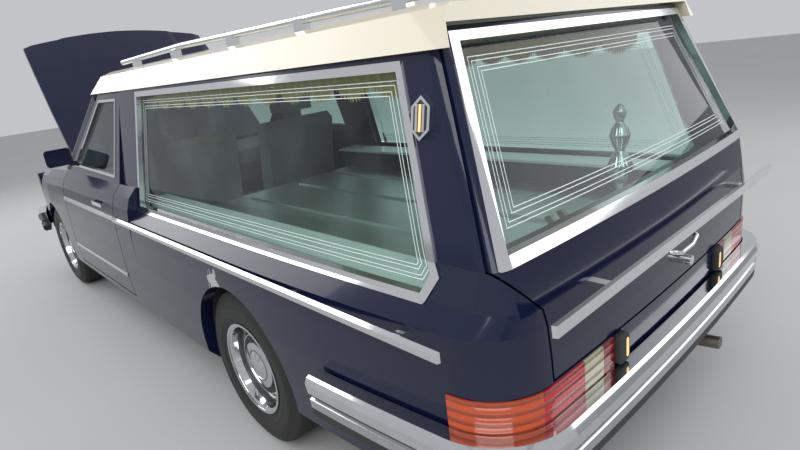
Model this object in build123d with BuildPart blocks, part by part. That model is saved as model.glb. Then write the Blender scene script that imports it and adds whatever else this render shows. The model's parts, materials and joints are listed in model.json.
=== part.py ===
"""A hearse built on a large saloon car: steel body, raised roof, long side windows and a glazed tailgate.

Frame: +X forward, +Y to the left, +Z up, in millimetres. The origin lies on the floor, midway between
the two bumpers and between the two sides. Left-hand pieces are drawn and mirrored to the right.
"""

import math
import os
from functools import cache

from build123d import *

# Overall sizes
WHEELBASE = 2935
FRONT_OVERHANG = 860
REAR_OVERHANG = 1296
LENGTH = FRONT_OVERHANG + WHEELBASE + REAR_OVERHANG
REAR_AXLE = -LENGTH / 2 + REAR_OVERHANG
FRONT_AXLE = REAR_AXLE + WHEELBASE
HALF_WIDTH = 895
GAP = 7
WALL = 54

# Heights
SILL_BOTTOM = 215
DOOR_BOTTOM = 325
BELT = 940
ROOF_LINE = 1405
ROOF_TOP = 1548

# Stations along the car
DOOR_REAR = REAR_AXLE + 1270
DOOR_FRONT = REAR_AXLE + 2365
COWL = REAR_AXLE + 2400
REAR_FACE = REAR_AXLE - 1234
REAR_BOW = 24
NOSE = FRONT_AXLE + FRONT_OVERHANG - 84

# Outline of the rear body by height: side inset, taper, rear inset and corner radius
REAR_LEVELS = (
    (SILL_BOTTOM, 72, 60, 66, 120),
    (SILL_BOTTOM + 72, 10, 75, 20, 175),
    (420, 3, 78, 6, 185),
    (560, 0, 78, 0, 185),
    (700, 5, 72, 0, 175),
    (785, 14, 60, 3, 160),
    (838, 78, 30, 12, 100),
    (BELT, 100, 10, 36, 50),
    (1452, 212, 8, 250, 38),
)

# Section of the door and wing by height: side inset
DOOR_LEVELS = (
    (SILL_BOTTOM, 72),
    (SILL_BOTTOM + 72, 10),
    (420, 3),
    (560, 0),
    (700, 4),
    (785, 11),
    (838, 20),
    (895, 42),
    (BELT, 84),
)
LEAN_TOP = 206

# Wheels
TYRE_R = 318
TYRE_W = 205
RIM_R = 188
RIM_W = 190
BORE_R = 36
TRACK_Y = 768
ARCH_R = 352
KINGPIN_Y = 740

# Side windows: front, rear-top, rear and the heights of their corners
SIDE_WINDOW = (
    (REAR_AXLE + 1016, 828),
    (REAR_AXLE + 1006, 1392),
    (REAR_AXLE - 866, 1390),
    (REAR_AXLE - 1016, 905),
    (REAR_AXLE - 962, 830),
)
FRAME_W = 24
GLASS_T = 6

# Tailgate
GATE_TOP = 1452
GATE_T = 60
GATE_BOTTOM = 640
GATE_OUTLINE = ((655, GATE_BOTTOM), (668, 824), (776, BELT), (655, GATE_TOP))
GATE_GLASS = ((742, 962), (622, 1424))
HINGE_X = REAR_AXLE - 990

# Front door: parts cut away above the belt, and the window opening
SCREEN_FOOT = REAR_AXLE + 2430
SCREEN_LEAN = 1.448
DOOR_TOP = 1398
DOOR_CUT = (
    (SCREEN_FOOT - 104, BELT),
    (SCREEN_FOOT - 104 - SCREEN_LEAN * (DOOR_TOP - BELT), DOOR_TOP),
    (DOOR_REAR - 50, DOOR_TOP),
    (DOOR_REAR - 50, ROOF_LINE + 10),
    (DOOR_FRONT + 50, ROOF_LINE + 10),
    (DOOR_FRONT + 50, BELT),
)
DOOR_WINDOW = (
    (DOOR_REAR + 70, 966),
    (DOOR_REAR + 62, 1370),
    (SCREEN_FOOT - 160 - SCREEN_LEAN * 430, 1370),
    (SCREEN_FOOT - 250, 982),
)

# Front body: x, drawn in, top edge and bonnet edge
WING_NOSE_Y = 806
WING_NOSE_Z = 846
WING_STATIONS = (
    (DOOR_FRONT + GAP, 0, BELT, 738),
    (FRONT_AXLE, 6, 915, 732),
    (FRONT_AXLE + 400, 40, 880, 716),
    (NOSE - 118, HALF_WIDTH - WING_NOSE_Y - 4, WING_NOSE_Z, 700),
)
BONNET_STATIONS = (
    (COWL + 38, 730, BELT - 3, 968),
    (FRONT_AXLE, 724, 912, 958),
    (FRONT_AXLE + 400, 708, 877, 930),
    (NOSE - 60, 690, WING_NOSE_Z - 8, 892),
)
HINGE_BONNET = (COWL + 38, 0, 972)
BONNET_BOW = 70
GRILLE_HALF = 262

# Windscreen, in distance up the slope
SCREEN_RUN = 800
SCREEN_GLASS = ((752, 40), (636, SCREEN_RUN - 34))

# Roof
ROOF_BASE_Y = 706
ROOF_FRONT = REAR_AXLE + 1690
ROOF_REAR = REAR_AXLE - 980

# Floor and wheel housings
FLOOR_Z = 292
FLOOR_HALF = 720
WHEELHOUSE_R = ARCH_R + 14
WHEELHOUSE_Y = 560

# Lamps and bumpers
LAMP_BOTTOM = 530
LAMP_TOP = 628
LAMP_INNER_Y = 392
LAMP_FRONT = REAR_AXLE - 1040
BUMPER_END = REAR_AXLE - 556

BUMPER_LEVELS = (
    (388, 40),
    (404, 52),
    (462, 56),
    (466, 48),
    (480, 48),
    (484, 58),
    (520, 62),
    (536, 54),
    (541, 44),
)

# Rails, coach lamps and cabin
RAIL_Y = 892
RAIL_REAR = REAR_AXLE - 1085
RAIL_BRACKETS = (490, -480, -935)
RAIL_ROOF_Y = 592
RAIL_FEET = (1190, 673, 128, -336, -792)
LAMP_X = REAR_AXLE - 954
DECK_Z = 706
SEAT = (REAR_AXLE + 1640, 360)
WHEEL_Y = 360
STEER_BASE = (COWL - 409, WHEEL_Y, 814.5)
STEER_CENTRE = (COWL - 452, WHEEL_Y, 838)
STEER_AXIS = (-205, 0, 112)

# Opening angle of the bonnet as photographed
BONNET_OPEN = 52

os.makedirs("parts", exist_ok=True)


def save(shape, name):
    """Writes one piece to its own file."""
    shape.label = name
    export_step(shape, f"parts/{name}.step")


def save_both(shape, name):
    """Writes a left-hand piece and its mirror image as two files."""
    save(shape, f"{name}_left")
    save(mirror(shape, about=Plane.XZ), f"{name}_right")


def save_pair(shape, name):
    """Writes a left-hand piece and its mirror image together in one file."""
    save(Compound(children=[*shape.solids(), *mirror(shape, about=Plane.XZ).solids()]), name)


def block(x0, x1, y0, y1, z0, z1, mode=Mode.ADD):
    """A box between two corners."""
    with Locations(((x0 + x1) / 2, (y0 + y1) / 2, (z0 + z1) / 2)):
        return Box(x1 - x0, y1 - y0, z1 - z0, mode=mode)


def polygon(plane, points):
    """A flat face through the given points of a plane."""
    with BuildSketch(plane) as sketch:
        with BuildLine():
            Polyline(*points, close=True)
        make_face()
    return sketch.sketch


def side_prism(points, y0, y1, mode=Mode.ADD):
    """A solid with an (x, z) outline between two values of y."""
    return extrude(polygon(Plane.XZ.offset(-y1), points), amount=y1 - y0, mode=mode)


def cross_prism(points, x0, x1, mode=Mode.ADD):
    """A solid with a (y, z) outline between two values of x."""
    return extrude(polygon(Plane.YZ.offset(x0), points), amount=x1 - x0, mode=mode)


def plan_prism(points, z0, z1, mode=Mode.ADD):
    """A solid with an (x, y) outline between two heights."""
    return extrude(polygon(Plane.XY.offset(z0), points), amount=z1 - z0, mode=mode)


def tube(points, radius, bend=0):
    """A round bar along straight runs, with bends where a radius is given."""
    with BuildPart() as bar:
        with BuildLine() as path:
            if bend:
                FilletPolyline(*points, radius=bend)
            else:
                Polyline(*points)
        with BuildSketch(path.line ^ 0):
            Circle(radius)
        sweep(path=path.line)
    return bar.part


def rear_outline(z, side_in, taper, rear_in, radius, wall=0, front=DOOR_REAR):
    """Horizontal outline of the rear body at one height."""
    side = HALF_WIDTH - side_in - wall
    rear = REAR_FACE + rear_in + wall
    corner = (rear + REAR_BOW, side - taper)
    with BuildSketch(Plane.XY.offset(z)) as sketch:
        with BuildLine():
            Polyline((REAR_AXLE, -side), (front, -side), (front, side), (REAR_AXLE, side))
            TangentArc((REAR_AXLE, side), corner, tangent=(-1, 0))
            ThreePointArc(corner, (rear, 0), (corner[0], -corner[1]))
            TangentArc((REAR_AXLE, -side), (corner[0], -corner[1]), tangent=(-1, 0))
        make_face()
        tips = sketch.vertices().group_by(Axis.X)[0]
        fillet(tips, max(radius - wall, 14))
    return sketch.sketch


@cache
def rear_body(wall=0, front=DOOR_REAR):
    """Solid rear body, or the hollow inside it when a wall thickness is given."""
    with BuildPart() as body:
        loft([rear_outline(*level, wall=wall, front=front) for level in REAR_LEVELS], ruled=True)
    return body.part


def door_section(x, wall=0, top=BELT, grow=0):
    """Closed (y, z) section of the lower door or wing at a station, thick by wall."""
    outer = [(HALF_WIDTH - inset + grow, z) for z, inset in DOOR_LEVELS if z <= top]
    inner = HALF_WIDTH - DOOR_LEVELS[-1][1] - wall
    return polygon(Plane.YZ.offset(x), [*outer, (inner, top), (inner, SILL_BOTTOM)])


def mirrored(points):
    """A half outline on +y, listed from the bottom up, closed with its mirror image."""
    return [*points, *[(-y, z) for y, z in reversed(points)]]


def grown(points, by):
    """A half outline moved outward in y by a clearance, with its bottom lowered as much."""
    low, *rest = points
    return [(low[0] + by, low[1] - by), *[(y + by, z) for y, z in rest]]


def rear_shell(wall=WALL):
    """Rear body with walls of one thickness, open above and below."""
    with BuildPart() as shell:
        add(rear_body())
        add(rear_body(wall, DOOR_REAR + 10), mode=Mode.SUBTRACT)
    return shell.part


def gate_region(by=0):
    """Everything behind the tailgate's outline."""
    with BuildPart() as region:
        cross_prism(mirrored(grown(GATE_OUTLINE, by)), -LENGTH / 2 - 200, HINGE_X + 66 + by)
        add(Pos(GATE_T + by, 0, 0) * rear_body(), mode=Mode.SUBTRACT)
    return region.part


def body_side(shell):
    """Left quarter panel with its pillars, cut for the wheel, the window and the lamps."""
    with BuildPart() as side:
        add(shell)
        add(gate_region(GAP), mode=Mode.SUBTRACT)
        block(-LENGTH, LENGTH, -HALF_WIDTH - 50, 0, 0, 2000, mode=Mode.SUBTRACT)
        block(-LENGTH, LENGTH, 0, 656, 0, GATE_BOTTOM - GAP, mode=Mode.SUBTRACT)
        block(-LENGTH, LENGTH, 0, 900, ROOF_LINE, 2000, mode=Mode.SUBTRACT)
        block(DOOR_REAR - GAP, LENGTH, 0, 900, 0, 2000, mode=Mode.SUBTRACT)
        extrude(door_section(SIDE_WINDOW[0][0] + 8, WALL), amount=DOOR_REAR - GAP - SIDE_WINDOW[0][0] - 8)
        side_prism(SIDE_WINDOW, 500, 950, mode=Mode.SUBTRACT)
        with Locations((REAR_AXLE, 800, TYRE_R)):
            Cylinder(ARCH_R, 500, rotation=(90, 0, 0), mode=Mode.SUBTRACT)
        add(lamp_region(0.3), mode=Mode.SUBTRACT)
    return side.part


def lamp_region(by=0):
    """Space of the left tail lamp, round the corner of the body."""
    with BuildPart() as region:
        block(-LENGTH, LAMP_FRONT + by, LAMP_INNER_Y - by, 1000, LAMP_BOTTOM - by, LAMP_TOP + by)
        add(rear_body(32 + by), mode=Mode.SUBTRACT)
    return region.part


def tail_lamp():
    """Left tail lamp, one long lens from the side round to the number plate."""
    with BuildPart() as lamp:
        add(lamp_region())
        add(rear_body(-5), mode=Mode.INTERSECT)
    return lamp.part


def rear_panel(shell):
    """Panel across the rear below the tailgate."""
    with BuildPart() as panel:
        add(shell)
        block(-LENGTH, REAR_FACE + 400, -655.7, 655.7, SILL_BOTTOM + 40, GATE_BOTTOM - GAP, mode=Mode.INTERSECT)
        for part in (lamp_region(0.3), mirror(lamp_region(0.3), about=Plane.XZ)):
            add(part, mode=Mode.SUBTRACT)
    return panel.part


def tailgate(shell):
    """Tailgate with its window opening."""
    with BuildPart() as gate:
        add(shell)
        add(gate_region(), mode=Mode.INTERSECT)
        cross_prism(mirrored(GATE_GLASS), -LENGTH, HINGE_X + 100, mode=Mode.SUBTRACT)
    return gate.part


def between(outer, inner, front=DOOR_REAR):
    """Skin of the rear body between two depths."""
    with BuildPart() as skin:
        add(rear_body(outer, front))
        add(rear_body(inner, front + 10), mode=Mode.SUBTRACT)
    return skin.part


def window_frame():
    """Chrome frame of a side window, standing a little proud of the body."""
    inner = [(SIDE_WINDOW[0][0] - FRAME_W, 828 + FRAME_W), (SIDE_WINDOW[1][0] - FRAME_W, 1392 - FRAME_W),
             (SIDE_WINDOW[2][0] + 14, 1390 - FRAME_W), (SIDE_WINDOW[3][0] + FRAME_W + 4, 909),
             (SIDE_WINDOW[4][0] + 12, 830 + FRAME_W)]
    with BuildPart() as frame:
        add(between(-5, 20))
        side_prism(shrunk(SIDE_WINDOW, 0.3), 500, 950, mode=Mode.INTERSECT)
        side_prism(inner, 500, 950, mode=Mode.SUBTRACT)
    return frame.part


def shrunk(points, by):
    """A convex outline with every side moved inward."""
    with BuildSketch() as sketch:
        with BuildLine():
            Polyline(*points, close=True)
        make_face()
        offset(amount=-by, kind=Kind.INTERSECTION)
    ring = sketch.face().outer_wire().vertices()
    middle = sketch.face().center()
    ring = sorted(ring, key=lambda v: math.atan2(v.Y - middle.Y, v.X - middle.X))
    return [(v.X, v.Y) for v in ring]


def side_glass():
    """Pane of a side window, behind its frame."""
    with BuildPart() as pane:
        add(between(20.3, 20.3 + GLASS_T))
        side_prism(shrunk(SIDE_WINDOW, 0.3), 500, 950, mode=Mode.INTERSECT)
    return pane.part


def gate_frame():
    """Chrome frame round the tailgate window."""
    (y0, z0), (y1, z1) = GATE_GLASS
    outer = [(y0 + FRAME_W, z0 - 20), (y1 + FRAME_W - 8, z1 + 16)]
    inner = [(y0 - 6, z0 + 6), (y1 - 6, z1 - 6)]
    with BuildPart() as frame:
        add(between(-6, 0))
        cross_prism(mirrored(outer), -LENGTH, HINGE_X + 80, mode=Mode.INTERSECT)
        cross_prism(mirrored(inner), -LENGTH, HINGE_X + 80, mode=Mode.SUBTRACT)
    with BuildPart() as lip:
        add(between(-6, 18))
        cross_prism(mirrored([(y0 - 0.3, z0 + 0.3), (y1 - 0.3, z1 - 0.3)]), -LENGTH, HINGE_X + 80, mode=Mode.INTERSECT)
        cross_prism(mirrored([(y0 - 7, z0 + 7), (y1 - 7, z1 - 7)]), -LENGTH, HINGE_X + 80, mode=Mode.SUBTRACT)
        add(frame.part)
    return lip.part


def gate_glass():
    """Rear window pane."""
    (y0, z0), (y1, z1) = GATE_GLASS
    with BuildPart() as pane:
        add(between(18.3, 18.3 + GLASS_T))
        cross_prism(mirrored([(y0 - 0.3, z0 + 0.3), (y1 - 0.3, z1 - 0.3)]), -LENGTH, HINGE_X + 80, mode=Mode.INTERSECT)
    return pane.part


def lean_y(z):
    """Outer half width of the door's window frame at height z."""
    return HALF_WIDTH - DOOR_LEVELS[-1][1] - (LEAN_TOP - DOOR_LEVELS[-1][1]) * (z - BELT) / (ROOF_LINE - BELT)


def lean_slab(outer, inner, x0, x1, z0=BELT - 1, z1=ROOF_LINE):
    """Leaning slab of the upper side between two depths."""
    points = [(lean_y(z0) - outer, z0), (lean_y(z1) - outer, z1), (lean_y(z1) - inner, z1),
              (lean_y(z0) - inner, z0)]
    with BuildPart() as slab:
        cross_prism(points, x0, x1)
    return slab.part


def door():
    """Left front door: deep lower body and a thin window frame."""
    with BuildPart() as body:
        extrude(door_section(DOOR_REAR, WALL), amount=DOOR_FRONT - DOOR_REAR)
        block(DOOR_REAR, DOOR_FRONT, 0, 950, 0, DOOR_BOTTOM, mode=Mode.SUBTRACT)
        add(lean_slab(0, 34, DOOR_REAR, DOOR_FRONT, BELT - 0.01))
        side_prism(DOOR_CUT, 0, 950, mode=Mode.SUBTRACT)
        side_prism(DOOR_WINDOW, 0, 950, mode=Mode.SUBTRACT)
    return body.part


def door_glass():
    """Pane of the front door."""
    with BuildPart() as pane:
        add(lean_slab(12, 12 + GLASS_T, DOOR_REAR, DOOR_FRONT))
        side_prism(shrunk(DOOR_WINDOW, 0.3), 0, 950, mode=Mode.INTERSECT)
    return pane.part


def door_trim():
    """Chrome of the left door: window surround, side moulding and pull handle."""
    with BuildPart() as surround:
        add(lean_slab(-4, 11.7, DOOR_REAR, DOOR_FRONT))
        side_prism(shrunk(DOOR_WINDOW, 0.3), 0, 950, mode=Mode.INTERSECT)
        side_prism(shrunk(DOOR_WINDOW, 14), 0, 950, mode=Mode.SUBTRACT)
    with BuildPart() as moulding:
        cross_prism([(887, 752), (893, 757), (891, 776), (884.8, 780)], DOOR_REAR + 8, DOOR_FRONT - 8)
    with BuildPart() as sill:
        cross_prism([(892.8, 436), (898, 438), (898, 452), (893.8, 456)], DOOR_REAR + 8, DOOR_FRONT - 8)
    with BuildPart() as handle:
        block(DOOR_REAR + 110, DOOR_REAR + 290, 860, 904, 820, 842)
        block(DOOR_REAR + 132, DOOR_REAR + 268, 800, 892, 800, 860, mode=Mode.SUBTRACT)
        extrude(door_section(DOOR_REAR, WALL, grow=0.3), amount=DOOR_FRONT - DOOR_REAR, mode=Mode.SUBTRACT)
    return Compound(children=[surround.part.solid(), moulding.part.solid(), sill.part.solid(),
                              *handle.part.solids()])


def mirror_housing():
    """Left door mirror on the corner of the window."""
    x = REAR_AXLE + 2190
    with BuildPart() as housing:
        with BuildSketch(Plane.YZ.offset(x)):
            with Locations((880, 1050)):
                RectangleRounded(152, 108, 22)
        extrude(amount=46, taper=12)
        fillet(housing.faces().sort_by(Axis.X)[-1].edges(), 7)
        with BuildSketch(Plane.YZ.offset(x)):
            with Locations((880, 1050)):
                RectangleRounded(138, 94, 16)
        extrude(amount=9, mode=Mode.SUBTRACT)
        block(x + 5, x + 42, lean_y(1000) - 2, 830, 985, 1012)
        add(lean_slab(-400, -0.3, DOOR_REAR, DOOR_FRONT, 900, 1200), mode=Mode.INTERSECT)
    return housing.part


def wing_section(station):
    """Section of the front wing: x, how far the side is drawn in, and the height of the top edge."""
    x, tuck, top, edge = station
    low = [(HALF_WIDTH - inset - tuck, z) for z, inset in DOOR_LEVELS if z <= 560]
    high = [(HALF_WIDTH - inset - tuck, 560 + (z - 560) * (top - 560) / (BELT - 560))
            for z, inset in DOOR_LEVELS if z > 560]
    inner = HALF_WIDTH - DOOR_LEVELS[-1][1] - WALL - tuck
    points = [*low, *high, (edge, top + 4), (edge, top - 30), (inner, top - 46), (inner, SILL_BOTTOM)]
    return polygon(Plane.YZ.offset(x), points)


def front_wing():
    """Left front wing."""
    with BuildPart() as wing:
        loft([wing_section(station) for station in WING_STATIONS], ruled=True)
        with Locations((FRONT_AXLE, 800, TYRE_R)):
            Cylinder(ARCH_R, 500, rotation=(90, 0, 0), mode=Mode.SUBTRACT)
        block(FRONT_AXLE, NOSE, 500, 950, 0, 392, mode=Mode.SUBTRACT)
    return wing.part


def bonnet_section(station, depth=26):
    """Section of the bonnet: x, half width, edge height and crown height."""
    x, half, edge, crown = station
    rise = crown - edge
    top = [(half, edge), (half - 60, edge + 0.35 * rise), (450, edge + 0.55 * rise), (410, edge + 0.75 * rise),
           (200, crown - 2), (0, crown + 3)]
    top = [*top, *[(-y, z) for y, z in reversed(top[:-1])]]
    return polygon(Plane.YZ.offset(x), [*top, *[(y, z - depth) for y, z in reversed(top)]])


def bonnet():
    """Bonnet with its stiffening frame, raised about its rear hinge."""
    half = BONNET_STATIONS[-1][1]
    with BuildPart() as lid:
        loft([bonnet_section(station) for station in BONNET_STATIONS], ruled=True)
        with BuildSketch(Plane.XY.offset(600)):
            with BuildLine():
                Polyline((NOSE - 60 - BONNET_BOW, 800), (0, 800), (0, -800), (NOSE - 60 - BONNET_BOW, -800))
                Line((NOSE - 60 - BONNET_BOW, 800), (NOSE - 60 - BONNET_BOW, half + 10))
                Line((NOSE - 60 - BONNET_BOW, -800), (NOSE - 60 - BONNET_BOW, -half - 10))
                ThreePointArc((NOSE - 60 - BONNET_BOW, half + 10), (NOSE - 60, 0), (NOSE - 60 - BONNET_BOW, -half - 10))
            make_face()
        extrude(amount=600, mode=Mode.INTERSECT)
    return lid.part.rotate(Axis(HINGE_BONNET, (0, 1, 0)), -BONNET_OPEN)


def nose_panel():
    """Upright front end with openings for the grille and the lamps."""
    x0 = NOSE - 118
    with BuildPart() as nose:
        with BuildSketch(Plane.XY.offset(392)):
            with BuildLine():
                Polyline((x0 + 0.3, -WING_NOSE_Y), (NOSE - 60, -WING_NOSE_Y), (NOSE, -WING_NOSE_Y + 100),
                         (NOSE, WING_NOSE_Y - 100), (NOSE - 60, WING_NOSE_Y), (x0 + 0.3, WING_NOSE_Y), close=True)
            make_face()
        extrude(amount=WING_NOSE_Z - 392 - 14)
        block(x0 + 40, NOSE + 10, -GRILLE_HALF, GRILLE_HALF, 546, 900, mode=Mode.SUBTRACT)
        block(x0, x0 + 41, -GRILLE_HALF + 40, GRILLE_HALF - 40, 566, 900, mode=Mode.SUBTRACT)
        for side in (1, -1):
            lamp = sorted((side * (GRILLE_HALF + 30), side * (WING_NOSE_Y - 16)))
            block(x0 + 40, NOSE + 10, *lamp, 560, 752, mode=Mode.SUBTRACT)
        block(NOSE - 270, x0 + 1, -486, 486, 404, 429.7)
    return nose.part


def headlamp():
    """Left headlamp with the corner indicator."""
    with BuildPart() as lamp:
        plan_prism([(NOSE - 77, GRILLE_HALF + 30.3), (NOSE + 2, GRILLE_HALF + 30.3), (NOSE + 2, WING_NOSE_Y - 104),
                    (NOSE - 54, WING_NOSE_Y - 16.3), (NOSE - 77, WING_NOSE_Y - 16.3)], 560.3, 751.7)
    return lamp.part


def grille():
    """Upright radiator grille: a chrome shell with slats and a centre bar."""
    with BuildPart() as shell:
        block(NOSE - 77, NOSE + 34, -GRILLE_HALF + 0.3, GRILLE_HALF - 0.3, 546.3, WING_NOSE_Z + 1)
        block(NOSE - 90, NOSE + 50, -GRILLE_HALF + 34, GRILLE_HALF - 34, 566, WING_NOSE_Z - 40, mode=Mode.SUBTRACT)
        for row in range(5):
            block(NOSE - 70, NOSE + 22, -GRILLE_HALF + 30, GRILLE_HALF - 30, 598 + 40 * row, 608 + 40 * row)
        block(NOSE - 70, NOSE + 30, -9, 9, 560, WING_NOSE_Z - 36)
    return shell.part


def screen_plane(depth=0):
    """Plane of the windscreen: local x along the car's +Y, local y up the slope."""
    slope = Vector(-SCREEN_LEAN, 0, 1).normalized()
    normal = Vector(1, 0, SCREEN_LEAN).normalized()
    origin = Vector(SCREEN_FOOT, 0, BELT + 4) - normal * depth
    return Plane(origin=origin, x_dir=Vector(0, 1, 0), z_dir=normal)


def screen_surround():
    """Windscreen pillars with the header and the bar at the foot of the glass."""
    with BuildPart() as ring:
        extrude(polygon(screen_plane(46), mirrored([(812, 0), (692, SCREEN_RUN)])), amount=46)
        extrude(polygon(screen_plane(60), mirrored(SCREEN_GLASS)), amount=100, mode=Mode.SUBTRACT)
        cross_prism(mirrored([(lean_y(900), 900), (lean_y(1450), 1450)]), 0, LENGTH, mode=Mode.INTERSECT)
        block(0, LENGTH, -900, 900, ROOF_LINE - 0.5, 2000, mode=Mode.SUBTRACT)
        block(0, DOOR_FRONT + GAP, -900, 900, 0, BELT + 12, mode=Mode.SUBTRACT)
        block(0, LENGTH, 730, 900, 0, BELT + 4.3, mode=Mode.SUBTRACT)
        block(0, LENGTH, -900, -730, 0, BELT + 4.3, mode=Mode.SUBTRACT)
    return ring.part


def windscreen():
    """Windscreen pane."""
    with BuildPart() as pane:
        extrude(polygon(screen_plane(16), mirrored([(y - 0.3, s + 0.3 * (1 if s < 200 else -1))
                                                    for y, s in SCREEN_GLASS])), amount=GLASS_T)
    return pane.part


def roof_block(inset=0):
    """Solid form of the raised roof, or the hollow inside it."""
    half = [(ROOF_BASE_Y - inset, ROOF_LINE - inset), (648 - inset, 1494 - inset), (600 - inset, 1512 - inset),
            (400, 1538 - inset), (0, ROOF_TOP - inset)]
    rear, front = ROOF_REAR + inset * 1.2, ROOF_FRONT - inset * 1.2
    profile = [(rear - 28, ROOF_LINE - inset), (rear, 1502 - inset), (rear + 700, 1560 - inset),
               (front - 700, 1560 - inset), (front - 80, 1520 - inset), (front - 30, 1500 - inset),
               (front + 60, ROOF_LINE - inset)]
    with BuildPart() as form:
        cross_prism([*half, *[(-y, z) for y, z in reversed(half[:-1])]], ROOF_REAR - 60, ROOF_FRONT + 120)
        side_prism(profile, -900, 900, mode=Mode.INTERSECT)
    return form.part


def roof():
    """Raised roof over the whole cabin, hollow below."""
    with BuildPart() as cap:
        add(roof_block())
        add(roof_block(26), mode=Mode.SUBTRACT)
        cross_prism(mirrored([(GATE_OUTLINE[3][0] + 24, 1390), (GATE_OUTLINE[3][0] + 9, GATE_TOP + GAP)]),
                    ROOF_REAR - 80, HINGE_X + 76, mode=Mode.SUBTRACT)
    return cap.part


def sills():
    """Left sill under the door."""
    with BuildPart() as sill:
        extrude(door_section(DOOR_REAR - GAP + 0.3, 90), amount=DOOR_FRONT - DOOR_REAR + 2 * GAP - 0.6)
        block(-LENGTH, LENGTH, 0, 950, DOOR_BOTTOM - GAP, 2000, mode=Mode.SUBTRACT)
    return sill.part


def floor_pan():
    """Floor with the raised tunnel and the step over the rear axle."""
    half = FLOOR_HALF
    line = [(COWL - 20, 330), (COWL - 160, FLOOR_Z), (REAR_AXLE + 470, FLOOR_Z), (REAR_AXLE + 330, 520),
            (REAR_AXLE - 330, 520), (REAR_AXLE - 420, 400), (REAR_FACE + 90, 400)]
    with BuildPart() as pan:
        side_prism([*line, *[(x, z - 24) for x, z in reversed(line)]], -half, half)
        side_prism([(COWL - 18, 420), (REAR_AXLE + 455, 400), (REAR_AXLE + 455, FLOOR_Z - 20), (COWL - 140, FLOOR_Z - 20)],
                   -150, 150)
        side_prism([(COWL + 60, 394), (REAR_AXLE + 380, 390), (REAR_AXLE + 300, 200), (COWL + 60, 200)],
                   -126, 126, mode=Mode.SUBTRACT)
        for side in (1, -1):
            wheel = sorted((side * WHEELHOUSE_Y, side * 1000))
            block(REAR_AXLE - WHEELHOUSE_R - 8, REAR_AXLE + WHEELHOUSE_R + 8, *wheel, 0, 1000, mode=Mode.SUBTRACT)
            rail = sorted((side * 560, side * 500))
            block(REAR_AXLE + 470, COWL - 160, *rail, FLOOR_Z - 76, FLOOR_Z - 20)
        add(rear_body(WALL + 0.5, COWL + 100), mode=Mode.INTERSECT)
    return pan.part


def wheelhouse(axle, inner, outer, low):
    """Left wheel housing: an arch of sheet closed on the inside."""
    with BuildPart() as arch:
        with BuildSketch(Plane.XZ.offset(-outer)):
            with Locations((axle, TYRE_R)):
                Circle(WHEELHOUSE_R)
                Circle(WHEELHOUSE_R - 14, mode=Mode.SUBTRACT)
        extrude(amount=outer - inner)
        with BuildSketch(Plane.XZ.offset(-inner - 14)):
            with Locations((axle, TYRE_R)):
                Circle(WHEELHOUSE_R)
        extrude(amount=14)
        block(axle - 1000, axle + 1000, 0, 1000, -1000, low, mode=Mode.SUBTRACT)
    return arch.part


def rear_wheelhouse():
    """Left rear wheel housing, trimmed to the inside of the quarter panel."""
    with BuildPart() as arch:
        add(wheelhouse(REAR_AXLE, WHEELHOUSE_Y, HALF_WIDTH, 372))
        add(rear_body(WALL + 0.5), mode=Mode.INTERSECT)
    return arch.part


def firewall():
    """Bulkhead behind the engine with the cowl shelf under the windscreen."""
    with BuildPart() as wall:
        side_prism([(COWL - 24, 331), (COWL, 331), (COWL, 872), (COWL + 26, 872), (COWL + 26, 905.7), (COWL - 24, 905.7)],
                   -698, 698)
        block(COWL - 40, COWL + 60, -151, 151, 200, 422, mode=Mode.SUBTRACT)
    return wall.part


def inner_wing():
    """Left side of the engine bay: wheel housing, spring tower, chassis leg and top rail."""
    line = [(COWL + 0.3, 716), (FRONT_AXLE, 716), (FRONT_AXLE + 400, 698), (NOSE - 118.3, 654)]
    with BuildPart() as panel:
        plan_prism([*line, *[(x, y - 16) for x, y in reversed(line)]], 470, 866)
        side_prism([(FRONT_AXLE, 870), (NOSE - 100, 808), (NOSE - 100, 900), (FRONT_AXLE, 900)],
                   300, 800, mode=Mode.SUBTRACT)
        plan_prism([*line, *[(x, y - 60) for x, y in reversed(line)]], 790, 806)
        block(COWL + 0.3, NOSE - 118.3, 420, 486, 430, 520)
        block(COWL + 0.3, NOSE - 118.3, 480, 656, 506, 520)
        add(wheelhouse(FRONT_AXLE, 490, 716, 300))
        with BuildSketch(Plane.XY.offset(640)):
            with Locations((FRONT_AXLE - 20, 610)):
                Circle(98)
        extrude(amount=190, taper=4)
        with Locations((FRONT_AXLE, 504 + 200, TYRE_R)):
            Cylinder(WHEELHOUSE_R - 14, 400, rotation=(90, 0, 0), mode=Mode.SUBTRACT)
    return panel.part


def wheel_rim():
    """Deep-dish steel wheel with a stepped face and a raised hub cap, about the y axis."""
    w = RIM_W / 2
    with BuildPart() as rim:
        with BuildSketch(Plane.YZ):
            with BuildLine():
                Polyline((-w, RIM_R), (-w, RIM_R - 12), (-w + 35, RIM_R - 26), (w - 85, RIM_R - 30), (w - 73, RIM_R - 48),
                         (w - 55, RIM_R - 64), (w - 61, 104), (w - 49, 92), (w - 43, 60), (w - 49, 50),
                         (w - 49, BORE_R), (w - 29, BORE_R), (w - 29, 0), (w - 15, 0), (w - 20, 40), (w - 30, 62), (w - 33, 94), (w - 45, 106),
                         (w - 41, RIM_R - 62), (w - 59, RIM_R - 40), (w - 61, RIM_R - 28), (w - 35, RIM_R - 24),
                         (w - 11, RIM_R - 18), (w - 5, RIM_R - 8), (w, RIM_R - 10), (w, RIM_R), close=True)
            make_face()
        revolve(axis=Axis.Y)
    return rim.part


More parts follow.
